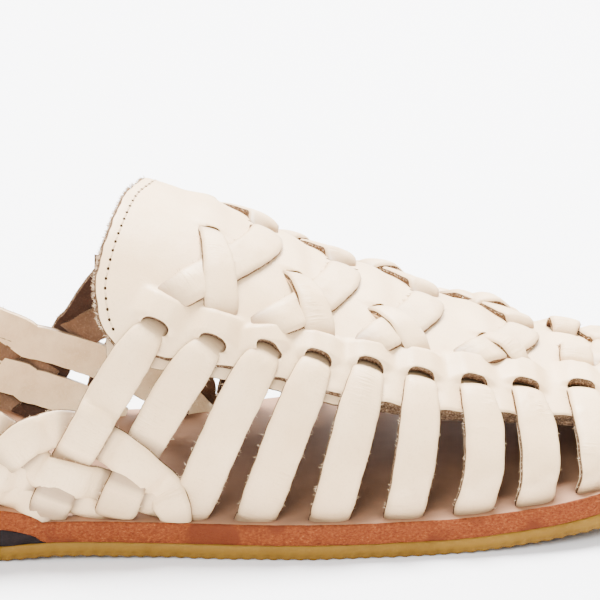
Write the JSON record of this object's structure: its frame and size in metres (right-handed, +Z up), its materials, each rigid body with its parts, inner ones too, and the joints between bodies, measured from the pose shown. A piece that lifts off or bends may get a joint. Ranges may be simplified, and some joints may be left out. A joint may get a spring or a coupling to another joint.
{
  "type": "huarache sandal",
  "caption": "Flat slingback sandal with a woven leather upper: a laced vamp panel, side straps and two slings on a leather footbed and gum rubber sole.",
  "frame": {"origin": "on the floor under the middle of the shoe's box", "axes": "+X to the toe, +Y to the inner side of the foot, +Z up"},
  "size_m": [0.2544, 0.0957, 0.0746],
  "materials": {
    "gum_rubber": "matt amber gum rubber",
    "dark_rubber": "matt dark grey-brown",
    "natural_leather": "undyed sole leather with a raw edge",
    "cream_leather": "smooth cream grain leather with raw tan edges"
  },
  "bodies": {
    "root": {"outsole": "gum_rubber", "heel_wedge": "dark_rubber", "midsole": "natural_leather", "upper": "cream_leather"}
  },
  "joints": []
}
